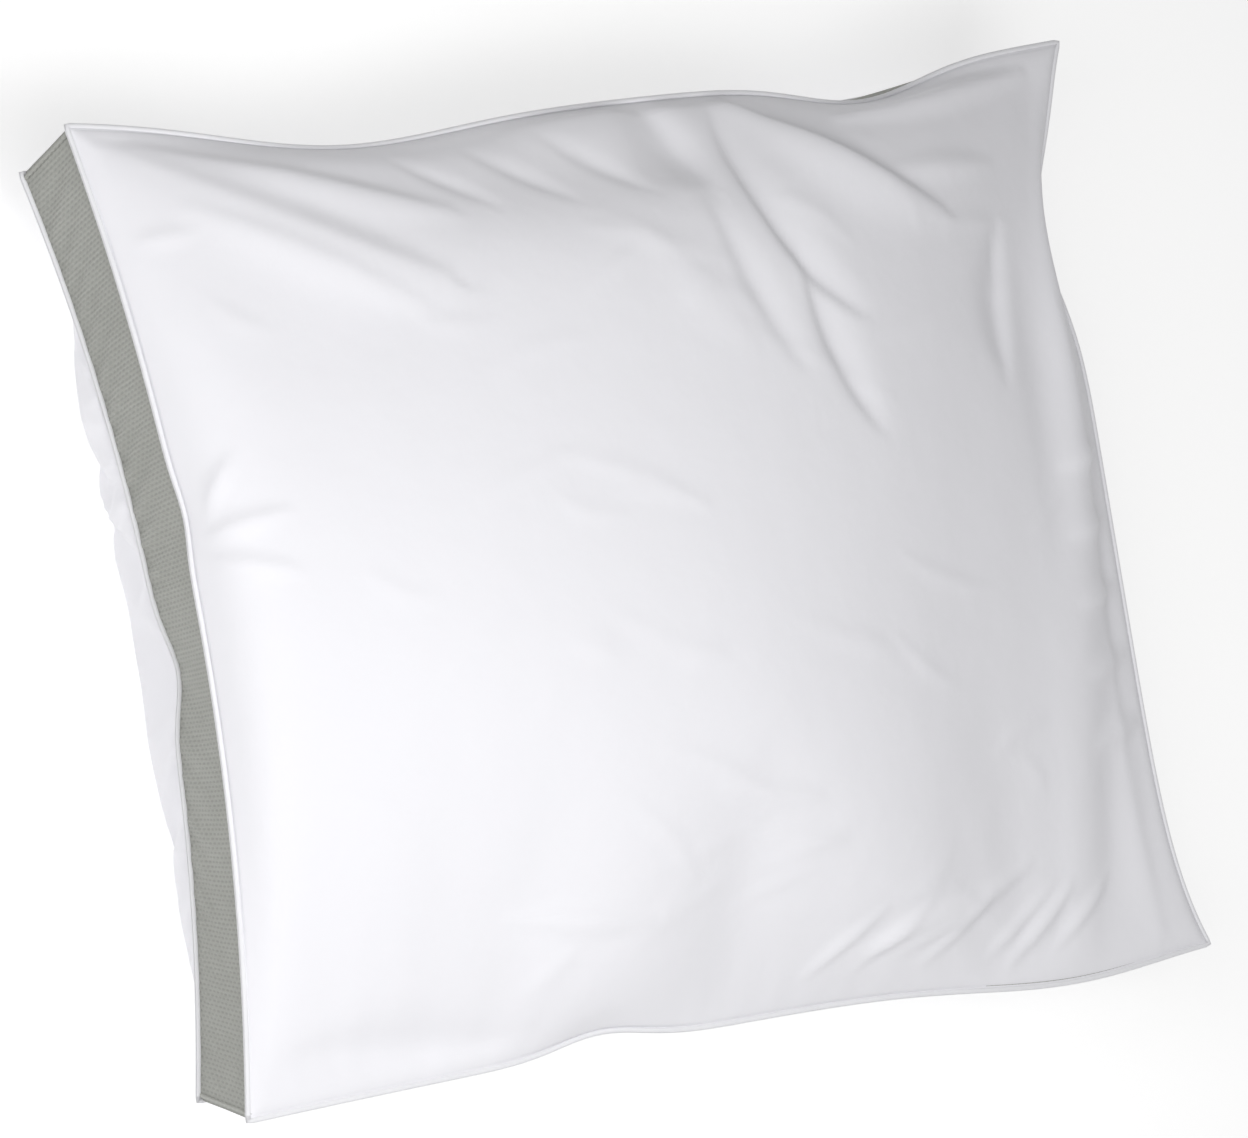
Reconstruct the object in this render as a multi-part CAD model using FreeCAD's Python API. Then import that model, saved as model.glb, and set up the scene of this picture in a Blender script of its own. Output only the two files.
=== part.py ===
"""A gusseted bed pillow, lying on its back panel. Millimetres, +Z up, origin amid its resting face.

Two cotton panels are sewn to a wall of spacer mesh, with a piping in each seam, round one mass of fibre.
+X runs along the pillow's long side, +Y towards its head side, and every seam is a level ring.
"""

import FreeCAD, Part
import math
import os

from FreeCAD import Vector

# Overall sizes, filled, from corner to corner
PILLOW_LENGTH = 660.0
PILLOW_WIDTH = 508.0
GUSSET_HEIGHT = 50.0
TOP_CROWN = 68.0
BOTTOM_CROWN = 62.0
RESTING_FLAT = 12.0  # how much of the bottom crown the surface under the pillow presses in
END_PULL_IN = 26.0  # how far the middle of a short end is drawn in from its corners
SIDE_PULL_IN = 24.0
CORNER_RADIUS = 6.0

# Cloth, piping and thread
COTTON_THICKNESS = 0.6
MESH_THICKNESS = 2.5
MESH_EDGE_THICKNESS = 1.2  # the mesh where a seam squeezes it
PIPING_DIAMETER = 3.0
CORD_DIAMETER = 2.0
TAPE_THICKNESS = 0.5  # the two layers of the piping's tape, pressed together
THREAD_THICKNESS = 0.5

# Seams
SEAM_ALLOWANCE = 9.0
STITCH_INSET = 3.0  # from the seam's outer edge to its line of thread
CLOSING_SEAM_LENGTH = 220.0
CLOSING_STITCH_PITCH = 5.0
CLOSING_STITCH_LENGTH = 3.6

# Clearances, and the least corner that an inner ring keeps
CORD_CLEARANCE = 0.1
FILL_CLEARANCE = 0.6
LEAST_CORNER_RADIUS = 1.0
TAPE_BITE = 0.2  # how far the tape runs into the wall of its tube

# A crown's surface goes this far past its outline, which then trims it
CROWN_MARGIN = 0.8
CROWN_POINTS = 13
CORNER_REACH = 20.0  # a corner seam's cutting plate runs this far past the cloth on both sides

# Levels, from the resting face up
BOTTOM_SEAM = BOTTOM_CROWN - RESTING_FLAT
MESH_BOTTOM = BOTTOM_SEAM + TAPE_THICKNESS
MESH_TOP = MESH_BOTTOM + GUSSET_HEIGHT
TOP_SEAM = MESH_TOP + TAPE_THICKNESS


def drawn_in_edge(chord, distance, pull_in):
    """An edge between two corners as an arc: its radius, and how far its centre is from the pillow's middle.

    chord is the edge's length from corner to corner, and distance is how far the corners lie from the middle.
    """
    radius = ((chord / 2) ** 2 + pull_in**2) / (2 * pull_in)
    return radius, distance - pull_in + radius


END_RADIUS, END_CENTRE = drawn_in_edge(PILLOW_WIDTH, PILLOW_LENGTH / 2, END_PULL_IN)
SIDE_RADIUS, SIDE_CENTRE = drawn_in_edge(PILLOW_LENGTH, PILLOW_WIDTH / 2, SIDE_PULL_IN)


def corner_circle(inset):
    """(centre, radius, point on the end, point on the side) of the +X +Y corner of an outline."""
    radius = max(CORNER_RADIUS - inset, LEAST_CORNER_RADIUS)
    to_end = END_RADIUS + inset + radius
    to_side = SIDE_RADIUS + inset + radius
    end_centre, side_centre = Vector(END_CENTRE, 0, 0), Vector(0, SIDE_CENTRE, 0)
    apart = side_centre - end_centre
    along = (to_end**2 - to_side**2 + apart.Length**2) / (2 * apart.Length)
    across = math.sqrt(to_end**2 - along**2)
    direction = Vector(apart).normalize()
    towards_middle = Vector(-direction.y, direction.x, 0)
    centre = end_centre + direction * along + towards_middle * across
    on_end = centre + (end_centre - centre).normalize() * radius
    on_side = centre + (side_centre - centre).normalize() * radius
    return centre, radius, on_end, on_side


def outline(inset, z):
    """The pillow's outline as a level wire, drawn in by inset, or let out where inset is negative."""
    centre, radius, on_end, on_side = corner_circle(inset)
    tip = centre + ((on_end - centre) + (on_side - centre)).normalize() * radius
    end_middle = END_CENTRE - END_RADIUS - inset
    side_middle = SIDE_CENTRE - SIDE_RADIUS - inset

    def at(point, x_sign, y_sign):
        return Vector(point.x * x_sign, point.y * y_sign, z)

    arcs = []
    for x_sign, y_sign in ((1, 1), (-1, 1), (-1, -1), (1, -1)):
        corner = [at(p, x_sign, y_sign) for p in (on_end, tip, on_side)]
        arcs.append(Part.Arc(*corner).toShape())
    for x_sign in (1, -1):
        ends = at(on_end, x_sign, -1), at(on_end, x_sign, 1)
        arcs.append(Part.Arc(ends[0], Vector(end_middle * x_sign, 0, z), ends[1]).toShape())
    for y_sign in (1, -1):
        ends = at(on_side, -1, y_sign), at(on_side, 1, y_sign)
        arcs.append(Part.Arc(ends[0], Vector(0, side_middle * y_sign, z), ends[1]).toShape())
    return Part.Wire(Part.__sortEdges__(arcs))


def slab(inset, bottom, top):
    """Everything inside an outline, between two levels."""
    return Part.Face(outline(inset, bottom)).extrude(Vector(0, 0, top - bottom))


def ring(outer_inset, inner_inset, bottom, top):
    """A band that follows the outline, between two insets and two levels."""
    return slab(outer_inset, bottom, top).cut(slab(inner_inset, bottom, top))


def crown(inset, base, height, way):
    """A crowned solid on the outline at the level base. way is 1 where it rises and -1 where it hangs."""
    half_length = PILLOW_LENGTH / 2 - inset + CROWN_MARGIN
    half_width = PILLOW_WIDTH / 2 - inset + CROWN_MARGIN
    steps = [math.pi * (i / (CROWN_POINTS - 1) - 0.5) for i in range(CROWN_POINTS)]
    rows = []
    for a in steps:
        row = []
        for b in steps:
            x = math.sin(a) * (half_length - END_PULL_IN * math.cos(b) ** 2)
            y = math.sin(b) * (half_width - SIDE_PULL_IN * math.cos(a) ** 2)
            row.append(Vector(x, y, base + way * height * math.cos(a) * math.cos(b)))
        rows.append(row)
    surface = Part.BSplineSurface()
    surface.interpolate(rows)
    top = surface.toShape()
    floor = Part.Face(Part.Wire(Part.__sortEdges__(top.Edges)))
    full = Part.Solid(Part.Shell([top, floor]))
    low, high = sorted((base, base + way * (height + CROWN_MARGIN)))
    return full.common(slab(inset, low, high))


def panel(base, height, way, resting_level=None):
    """A cotton panel: a crowned shell, solid where its seam allowance is turned in at the edge."""
    outer = crown(0, base, height, way)
    hollow = crown(COTTON_THICKNESS, base, height - COTTON_THICKNESS, way)
    if resting_level is not None:
        outer = above(outer, resting_level)
        hollow = above(hollow, resting_level + COTTON_THICKNESS)
    low, high = sorted((base, base + way * COTTON_THICKNESS))
    allowance = ring(0, SEAM_ALLOWANCE, low, high)
    return outer.cut(hollow.cut(allowance))


def above(shape, level):
    """What is left of shape above a level."""
    size = 2 * (PILLOW_LENGTH + PILLOW_WIDTH)
    keep = Part.makeBox(size, size, size, Vector(-size / 2, -size / 2, level))
    return shape.common(keep)


def corner_cutters():
    """Four upright plates, one on each corner's diagonal, as thick as the corner seam's thread."""
    centre = corner_circle(0)[0]
    reach = SEAM_ALLOWANCE + MESH_THICKNESS + CORNER_REACH
    plates = []
    for x_sign, y_sign in ((1, 1), (-1, 1), (-1, -1), (1, -1)):
        near = Vector(-reach, -THREAD_THICKNESS / 2, MESH_BOTTOM)
        plate = Part.makeBox(2 * reach, THREAD_THICKNESS, GUSSET_HEIGHT, near)
        plate.rotate(Vector(0, 0, 0), Vector(0, 0, 1), math.degrees(math.atan2(y_sign, x_sign)))
        plate.translate(Vector(centre.x * x_sign, centre.y * y_sign, 0))
        plates.append(plate)
    return plates


def four_strips(wall):
    """A wall cut at the corners, as {end or side: strip}."""
    strips = {}
    for solid in wall.cut(corner_cutters()).Solids:
        middle = solid.CenterOfMass
        if abs(middle.x) > abs(middle.y):
            name = "right" if middle.x > 0 else "left"
        else:
            name = "head" if middle.y > 0 else "foot"
        strips[name] = solid
    return strips


def mesh_wall():
    """The spacer mesh all round, with its two seam allowances turned in."""
    wall = ring(0, MESH_THICKNESS, MESH_BOTTOM, MESH_TOP)
    low = ring(0, SEAM_ALLOWANCE, MESH_BOTTOM, MESH_BOTTOM + MESH_EDGE_THICKNESS)
    high = ring(0, SEAM_ALLOWANCE, MESH_TOP - MESH_EDGE_THICKNESS, MESH_TOP)
    return wall.fuse([low, high]).removeSplitter()


def corner_threads():
    """The thread of the four upright corner seams, between the strips' ends."""
    wall = ring(0, MESH_THICKNESS, MESH_BOTTOM, MESH_TOP)
    return Part.makeCompound(wall.common(Part.makeCompound(corner_cutters())).Solids)


def tube(radius, level):
    """A round bar that follows the piping's line."""
    path = outline(-PIPING_DIAMETER / 2, level)
    start = path.Vertexes[0].Point
    first = path.Edges[0]
    along = first.tangentAt(first.FirstParameter)
    section = Part.Wire(Part.makeCircle(radius, start, along))
    sweep = Part.BRepOffsetAPI.MakePipeShell(path)
    sweep.setBiNormalMode(Vector(0, 0, 1))
    sweep.add(section, False, False)
    sweep.build()
    sweep.makeSolid()
    return sweep.shape()


def piping(tape_bottom):
    """(cover, cord) of a piping whose tape lies in the seam from the level tape_bottom up."""
    level = tape_bottom + TAPE_THICKNESS / 2
    bore = CORD_DIAMETER / 2 + CORD_CLEARANCE
    tape = ring(-TAPE_BITE, SEAM_ALLOWANCE, tape_bottom, tape_bottom + TAPE_THICKNESS)
    sleeve = tube(PIPING_DIAMETER / 2, level).cut(tube(bore, level))
    return sleeve.fuse(tape), tube(CORD_DIAMETER / 2, level)


def seam_thread(bottom):
    """The line of thread that shows on a panel's turned-in allowance."""
    outer = STITCH_INSET
    return ring(outer, outer + THREAD_THICKNESS, bottom, bottom + THREAD_THICKNESS)


def closing_stitches():
    """The stitches that shut the gap the fibre was blown in through, on the foot side's lower allowance."""
    level = MESH_BOTTOM + MESH_EDGE_THICKNESS
    y = -(SIDE_CENTRE - SIDE_RADIUS) + SEAM_ALLOWANCE - STITCH_INSET / 2
    count = int(CLOSING_SEAM_LENGTH / CLOSING_STITCH_PITCH)
    stitches = []
    for i in range(count):
        x = (i - (count - 1) / 2) * CLOSING_STITCH_PITCH
        corner = Vector(x - CLOSING_STITCH_LENGTH / 2, y, level)
        stitches.append(Part.makeBox(CLOSING_STITCH_LENGTH, THREAD_THICKNESS, THREAD_THICKNESS, corner))
    return Part.makeCompound(stitches)


def fibre_fill():
    """The fibre: it fills both crowns and the space between them, with a groove round each seam."""
    skin = COTTON_THICKNESS + FILL_CLEARANCE
    top = crown(skin, TOP_SEAM, TOP_CROWN - skin, 1)
    bottom = above(crown(skin, BOTTOM_SEAM, BOTTOM_CROWN - skin, -1), skin)
    middle = slab(MESH_THICKNESS + FILL_CLEARANCE, BOTTOM_SEAM, TOP_SEAM)
    stack = MESH_EDGE_THICKNESS + THREAD_THICKNESS + FILL_CLEARANCE
    rise = COTTON_THICKNESS + THREAD_THICKNESS + FILL_CLEARANCE
    inner = SEAM_ALLOWANCE + FILL_CLEARANCE
    groove_top = ring(-PIPING_DIAMETER, inner, MESH_TOP - stack, TOP_SEAM + rise)
    groove_bottom = ring(-PIPING_DIAMETER, inner, BOTTOM_SEAM - rise, MESH_BOTTOM + stack)
    return middle.fuse([top, bottom]).cut([groove_top, groove_bottom]).removeSplitter()


def build():
    """{node: shape} for the whole pillow."""
    parts = {
        "top_panel": panel(TOP_SEAM, TOP_CROWN, 1),
        "bottom_panel": panel(BOTTOM_SEAM, BOTTOM_CROWN, -1, resting_level=0),
        "gusset_corner_threads": corner_threads(),
        "top_seam_thread": seam_thread(TOP_SEAM + COTTON_THICKNESS),
        "bottom_seam_thread": seam_thread(BOTTOM_SEAM - COTTON_THICKNESS - THREAD_THICKNESS),
        "closing_seam_thread": closing_stitches(),
        "fibre_fill": fibre_fill(),
    }
    for place, strip in four_strips(mesh_wall()).items():
        parts["gusset_" + place] = strip
    for place, tape_bottom in (("top", MESH_TOP), ("bottom", BOTTOM_SEAM)):
        parts[place + "_piping_cover"], parts[place + "_piping_cord"] = piping(tape_bottom)
    return parts


os.makedirs("parts", exist_ok=True)
for node, shape in build().items():
    box = shape.BoundBox
    print(f"{node}: {len(shape.Solids)} solid(s), valid {shape.isValid()}, {shape.Volume:.0f} mm3,"
          f" {box.XLength:.1f} x {box.YLength:.1f} x {box.ZLength:.1f}")
    shape.exportStep(f"parts/{node}.step")
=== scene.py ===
# %% [markdown]
# # A bed pillow with a mesh gusset
# The pillow lies on its back panel. It is sewn from two white cotton panels, a wall of grey spacer mesh
# and a thin piping in each seam, and it holds one mass of loose fibre. The lesson starts with the seams and
# fills the cloth between them. Then come the finishes, and the pieces one by one: panels, gusset strips,
# piping, stitches and filling.

# %% Load the frame
import math

import bpy
import numpy as np
from mathutils import Matrix, Vector


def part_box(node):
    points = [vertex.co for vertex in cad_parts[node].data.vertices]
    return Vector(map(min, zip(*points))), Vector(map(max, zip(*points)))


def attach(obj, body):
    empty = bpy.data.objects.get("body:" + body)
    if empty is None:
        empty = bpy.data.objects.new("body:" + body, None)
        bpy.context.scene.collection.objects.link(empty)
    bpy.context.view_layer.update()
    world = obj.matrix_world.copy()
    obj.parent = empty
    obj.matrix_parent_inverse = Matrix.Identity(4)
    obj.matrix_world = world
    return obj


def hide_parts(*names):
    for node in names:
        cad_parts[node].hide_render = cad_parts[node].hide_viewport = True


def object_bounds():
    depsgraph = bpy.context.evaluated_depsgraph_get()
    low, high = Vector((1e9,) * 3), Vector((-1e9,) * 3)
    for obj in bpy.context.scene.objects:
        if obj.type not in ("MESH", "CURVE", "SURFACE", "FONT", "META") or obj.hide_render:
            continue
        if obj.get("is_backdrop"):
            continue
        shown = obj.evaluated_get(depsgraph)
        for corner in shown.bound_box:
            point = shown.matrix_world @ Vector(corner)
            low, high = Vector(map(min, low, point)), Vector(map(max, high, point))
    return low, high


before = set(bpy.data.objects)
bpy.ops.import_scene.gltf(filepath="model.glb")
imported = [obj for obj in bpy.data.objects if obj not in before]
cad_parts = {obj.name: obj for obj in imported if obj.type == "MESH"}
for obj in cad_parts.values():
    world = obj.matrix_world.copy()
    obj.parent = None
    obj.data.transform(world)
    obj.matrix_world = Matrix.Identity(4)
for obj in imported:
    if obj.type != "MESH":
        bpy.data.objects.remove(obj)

MM = 0.001
cad_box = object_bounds()
print("the CAD model's box:", [[round(v, 4) for v in corner] for corner in cad_box])

# %% [markdown]
# ## The seams
# Everything on a pillow hangs on its two seams, so they come first. Each is a closed ring with four
# corners, and between two corners the filling draws it in. A side is a formula: one hollow, and a notch
# wherever a fold starts at the seam. The levels and the corners are the frame's own, each corner pulled by up
# to a centimetre, because no sewn corner is quite square.

# %% Levels and corners
mesh_low, mesh_high = (corner[2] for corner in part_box("gusset_left"))
panel_low, panel_high = (corner[2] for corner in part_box("top_panel"))
TOP_LEVEL = (mesh_high + panel_low) / 2
BOTTOM_LEVEL = mesh_low - (panel_low - mesh_high) / 2
CROWN_LEVEL = panel_high
print(f"seams at {BOTTOM_LEVEL / MM:.1f} and {TOP_LEVEL / MM:.1f} mm, crown at {CROWN_LEVEL / MM:.1f} mm")

seam_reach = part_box("top_piping_cord")[1]
CORNER_SIGNS = np.array([(-1, -1), (1, -1), (1, 1), (-1, 1)])
# How far each corner is pulled outwards, in millimetres: foot left, foot right, head right, head left
TOP_PULL = np.array([(0, 5), (-10, 5), (5, 0), (0, 5)])
BOTTOM_PULL = np.array([(-5, -10), (-10, -10), (0, -5), (0, -10)])
TOP_CORNERS, BOTTOM_CORNERS = (CORNER_SIGNS * (np.array(seam_reach[:2]) + pull * MM)
                               for pull in (TOP_PULL, BOTTOM_PULL))

# %% The four sides
# From the foot side, each towards the next corner: the hollow's depth in millimetres, how square its ends
# are, and its notches as (part of the way along, depth in millimetres, half width), where a depth below 0
# is a swell
TOP_SIDES = [
    (5, 2, [(0.35, 8, 0.06), (0.85, -10, 0.15)]),
    (20, 6, [(0.8, 18, 0.1)]),
    (12, 2, [(0.22, 16, 0.09), (0.75, 15, 0.15)]),
    (27, 2, [(0.4, 3, 0.04)]),
]
BOTTOM_SIDES = [
    (16, 2, []),
    (28, 3, []),
    (16, 2, []),
    (30, 2, [(0.55, 8, 0.05)]),
]
SQUARE_END = 8  # how late a notch or a swell lets go towards a corner


def bump(at, place, half_width):
    """A smooth rise to 1 at one place."""
    return np.exp(-((at - place) / half_width) ** 2)


def drawn_in(shape, at):
    """How far a side is drawn in, in metres, at parts of the way along it."""
    depth, squareness, notches = shape
    off_middle = np.abs(2 * at - 1)
    cuts = np.zeros_like(at)
    for place, size, half_width in notches:
        cuts += size * bump(at, place, half_width)
    return (depth * (1 - off_middle ** squareness) + cuts * (1 - off_middle ** SQUARE_END)) * MM


def seam_side(corners, shapes, side, steps):
    """One side of a seam as points in plan, in metres, from its first corner to the next."""
    first, last = corners[side], corners[(side + 1) % 4]
    along = last - first
    inward = np.array([-along[1], along[0]]) / np.linalg.norm(along)
    at = np.linspace(0, 1, steps + 1)
    return first + at[:, None] * along + drawn_in(shapes[side], at)[:, None] * inward


print("seam corners in mm:", (TOP_CORNERS / MM).round().tolist())

# %% [markdown]
# ## The cloth as it is cut
# A panel is cut flat and square, a little larger than the finished pillow, and only the filling makes it
# round. So the cloth is first laid out as cut: two flat grids of squares and a wall of four strips. That flat
# layout gives the cloth its lengths, and the seams' real places are a second layout of the same points. Cloth
# that is longer than the space between its seams has to bulge or fold, exactly as the real one does.

# %% Cut sizes and grids
CELLS_X, CELLS_Y, CELLS_Z = 112, 88, 9
CUT_LENGTH, CUT_WIDTH, CUT_HEIGHT = 0.672, 0.520, 0.051
grid_x, grid_y = np.meshgrid(np.arange(CELLS_X + 1), np.arange(CELLS_Y + 1), indexing="ij")
top_index = grid_x * (CELLS_Y + 1) + grid_y
bottom_index = top_index + top_index.size


def rim(grid):
    """The grid's edge in one loop, anticlockwise from the foot left corner."""
    return np.concatenate([grid[:-1, 0], grid[-1, :-1], grid[:0:-1, -1], grid[0, :0:-1]])


ring_size = len(rim(top_index))
inner_rows = np.arange(ring_size * (CELLS_Z - 1)).reshape(CELLS_Z - 1, ring_size) + 2 * top_index.size
wall_index = np.vstack([rim(bottom_index), inner_rows, rim(top_index)])
point_count = 2 * top_index.size + inner_rows.size
print(f"{point_count} points, squares of {CUT_LENGTH / CELLS_X * 1000:.1f} mm")


# %% The two layouts
def lay_out(top_plan, bottom_plan, crown, sag):
    """Every point of the cloth, from the panels' plans and how far they stand out of their seams."""
    points = np.zeros((point_count, 3))
    points[top_index.ravel(), :2] = top_plan.reshape(-1, 2)
    points[top_index.ravel(), 2] = TOP_LEVEL + crown.ravel()
    points[bottom_index.ravel(), :2] = bottom_plan.reshape(-1, 2)
    points[bottom_index.ravel(), 2] = BOTTOM_LEVEL - sag.ravel()
    low, high = points[wall_index[0]], points[wall_index[-1]]
    for row in range(1, CELLS_Z):
        points[wall_index[row]] = low + (high - low) * row / CELLS_Z
    return points


def plan_between(corners, shapes):
    """A panel's plan, spread evenly between its four drawn-in sides."""
    foot, right, head, left = (seam_side(corners, shapes, side, CELLS_X if side % 2 == 0 else CELLS_Y)
                               for side in range(4))
    head, left = head[::-1], left[::-1]
    u = (grid_x / CELLS_X)[..., None]
    v = (grid_y / CELLS_Y)[..., None]
    across = foot[:, None] * (1 - v) + head[:, None] * v
    along = left[None] * (1 - u) + right[None] * u
    square = ((foot[0] * (1 - u) + foot[-1] * u) * (1 - v) + (head[0] * (1 - u) + head[-1] * u) * v)
    return across + along - square


# The dome that the filling starts from: its heights over each seam, in metres, and how square its plan is
START_CROWN, START_SAG = 0.05, 0.04
DOME_SQUARENESS, DOME_FLATNESS = 4, 0.6
u, v = grid_x / CELLS_X, grid_y / CELLS_Y
flat_plan = np.stack([(u - 0.5) * CUT_LENGTH, (v - 0.5) * CUT_WIDTH], axis=-1)
dome = ((1 - np.abs(2 * u - 1) ** DOME_SQUARENESS) ** DOME_FLATNESS
        * (1 - np.abs(2 * v - 1) ** DOME_SQUARENESS) ** DOME_FLATNESS)
cut_layout = lay_out(flat_plan, flat_plan, np.zeros_like(dome), np.zeros_like(dome))
sewn_layout = lay_out(plan_between(TOP_CORNERS, TOP_SIDES), plan_between(BOTTOM_CORNERS, BOTTOM_SIDES),
                      dome * START_CROWN, dome * START_SAG)


# %% [markdown]
# ## Filling the pillow
# Blender's Cloth takes its lengths from the cut layout, is held at the seams, and is blown up by a pressure
# that fades as the pillow reaches its volume. A level plate under it flattens the bottom panel. Fifty frames
# are enough for the cloth to settle into its own soft folds.

# %% Quads of the cloth
def quads(index):
    """The squares of a grid of point numbers, each as four corners."""
    return np.stack([index[:-1, :-1], index[1:, :-1], index[1:, 1:], index[:-1, 1:]], axis=-1).reshape(-1, 4)


closed_wall = np.hstack([wall_index, wall_index[:, :1]])
cloth_faces = np.vstack([quads(top_index), quads(bottom_index)[:, ::-1], quads(closed_wall.T)])


def link_new(name, data):
    """A new object that shows some data, linked into the scene."""
    made = bpy.data.objects.new(name, data)
    bpy.context.collection.objects.link(made)
    return made


def new_object(name, points, faces):
    """A mesh object from arrays of points and faces."""
    mesh = bpy.data.meshes.new(name)
    mesh.from_pydata(points.tolist(), [], faces.tolist())
    mesh.shade_smooth()
    return link_new(name, mesh)


def level_square(name, half):
    """A level square on the ground."""
    corners = np.array([(-half, -half, 0), (half, -half, 0), (half, half, 0), (-half, half, 0)], float)
    return new_object(name, corners, np.array([(0, 1, 2, 3)]))


# %% Simulate
FRAMES = 50
DRAW_IN_FRAMES = 15
PRESSURE = 8.0
VOLUME = 0.0395  # cubic metres
STRETCH, SHEAR, BENDING = 30, 12, 20.0
POINT_MASS, AIR_DAMPING, CLOTH_QUALITY = 0.15, 3, 6
TOUCHING = 0.001  # how near the cloth comes to the plate, in metres
# Corners that the filling doesn't reach: (end, side) of the cut, and the reach along each, in metres
SLACK_CORNERS = [((1, 1), (0.200, 0.125)), ((1, -1), (0.040, 0.035)), ((-1, 1), (0.030, 0.030)),
                 ((-1, -1), (0.030, 0.030))]
LEAST_FILL = 0.04
SLACK_START, SLACK_SPREAD = 0.45, 0.75


def fill_amount(points):
    """How much of the filling's pressure reaches each point of the cut cloth."""
    amount = np.ones(len(points))
    for (end, side), (reach_x, reach_y) in SLACK_CORNERS:
        from_x = CUT_LENGTH / 2 - points[:, 0] * end
        from_y = CUT_WIDTH / 2 - points[:, 1] * side
        reached = np.clip((from_x / reach_x + from_y / reach_y - SLACK_START) / SLACK_SPREAD, 0, 1)
        amount = np.minimum(amount, reached ** 2 * (3 - 2 * reached))
    return LEAST_FILL + (1 - LEAST_FILL) * amount


def shape_array(made):
    """The points of an object as its modifiers leave them."""
    shown = made.evaluated_get(bpy.context.evaluated_depsgraph_get()).data
    flat = np.empty(len(shown.vertices) * 3)
    shown.vertices.foreach_get("co", flat)
    return flat.reshape(-1, 3)


def fill_pillow():
    """The cloth's points after the filling has pushed it out."""
    cloth = new_object("cloth", cut_layout, cloth_faces)
    cloth.shape_key_add(name="as_cut", from_mix=False)
    sewn = cloth.shape_key_add(name="as_sewn", from_mix=False)
    sewn.points.foreach_set("co", sewn_layout.ravel())
    for number, amount in ((1, 0.0), (DRAW_IN_FRAMES, 1.0)):
        sewn.value = amount
        sewn.keyframe_insert("value", frame=number)
    held = cloth.vertex_groups.new(name="seams")
    held.add([int(i) for i in np.concatenate([wall_index[0], wall_index[-1]])], 1.0, "REPLACE")

    filled = cloth.vertex_groups.new(name="filled")
    for number, amount in enumerate(fill_amount(cut_layout)):
        filled.add([number], float(amount), "REPLACE")

    plate = level_square("plate", 1.0)
    plate.modifiers.new("collision", "COLLISION")
    plate.collision.thickness_outer = TOUCHING

    modifier = cloth.modifiers.new("cloth", "CLOTH")
    settings = modifier.settings
    settings.quality = CLOTH_QUALITY
    settings.mass = POINT_MASS
    settings.tension_stiffness = settings.compression_stiffness = STRETCH
    settings.shear_stiffness = SHEAR
    settings.bending_stiffness = BENDING
    settings.air_damping = AIR_DAMPING
    settings.effector_weights.gravity = 0
    settings.vertex_group_mass = "seams"
    settings.vertex_group_pressure = "filled"
    settings.use_pressure = True
    settings.uniform_pressure_force = PRESSURE
    settings.use_pressure_volume = True
    settings.target_volume = VOLUME
    modifier.collision_settings.distance_min = TOUCHING
    modifier.point_cache.frame_end = FRAMES
    for number in range(1, FRAMES + 1):
        bpy.context.scene.frame_set(number)
    points = shape_array(cloth)
    for made in (cloth, plate):
        bpy.data.objects.remove(made)
    bpy.context.scene.frame_set(1)
    return points


def settle(points):
    """Brings the top and the bottom to their levels, and lets the bottom panel bulge past its left seam."""
    points = points.copy()
    z = points[:, 2]
    above, below = z > TOP_LEVEL, z < BOTTOM_LEVEL
    z[above] = TOP_LEVEL + (z[above] - TOP_LEVEL) * (CROWN_LEVEL - TOP_LEVEL) / (z.max() - TOP_LEVEL)
    z[below] = BOTTOM_LEVEL * (z[below] - z.min()) / (BOTTOM_LEVEL - z.min())
    rows = np.zeros(len(points), bool)
    rows[bottom_index] = True
    x, y = points[:, 0], points[:, 1]
    height = np.sin(math.pi * np.clip(z / BOTTOM_LEVEL, 0, 1)) ** BULGE_FULLNESS
    amount = sum(size * bump(y / MM, place, half_width) for place, size, half_width in LEFT_BULGES) * MM
    short_of_corner = 1 - np.clip(np.abs(y) / BOTTOM_CORNERS[-1][1], 0, 1) ** SQUARE_END
    x -= np.where(rows & (x < BULGE_REACH), amount * height * short_of_corner, 0)
    return points


def straighten_corners(points):
    """Draws the gusset's upright corners straight between the two seams, where strip is sewn to strip."""
    points = points.copy()
    number = np.arange(ring_size)
    starts = np.cumsum([0, CELLS_X, CELLS_Y, CELLS_X, CELLS_Y])
    away = np.abs(number[:, None] - starts).min(axis=1)
    share = bump(away, 0, CORNER_CELLS)[:, None]
    points[wall_index] += (sewn_layout[wall_index] - points[wall_index]) * share
    return points


def calmed(grid, rounds):
    """A grid with its small folds smoothed away; its edge stays where it is."""
    grid = grid.copy()
    for _ in range(rounds):
        grid[1:-1, 1:-1] = (grid[:-2, 1:-1] + grid[2:, 1:-1] + grid[1:-1, :-2] + grid[1:-1, 2:]) / 4
    return grid


def calm_panel(points, index, rounds, keep):
    """A panel with only a share of its small folds kept."""
    points = points.copy()
    smooth = calmed(points[index], rounds)
    points[index] = smooth + (points[index] - smooth) * keep
    return points


CALM_ROUNDS, KEEP_FOLDS = 40, 0.08
CORNER_CELLS = 3.0  # how many squares away from a corner its pull is still felt
# How the bottom panel swells past its left seam, drawn in at the waist, in millimetres: place, size and
# half width. Then the place, in metres, up to which it swells, and how full the swell is from top to bottom.
LEFT_BULGES = [(90, 10, 70), (0, -6, 45), (-140, 4, 90)]
BULGE_REACH, BULGE_FULLNESS = -0.2, 0.7
FLAT_UNDER = 0.004  # what lies lower than this counts as flat
cloth = fill_pillow()
cloth = calm_panel(cloth, top_index, CALM_ROUNDS, KEEP_FOLDS)
cloth = straighten_corners(settle(cloth))
lies_flat = np.mean(cloth[bottom_index, 2] < FLAT_UNDER)
print(f"the crown stands {cloth[:, 2].max() / MM:.0f} mm up; {lies_flat:.0%} of the bottom panel lies flat")

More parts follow.
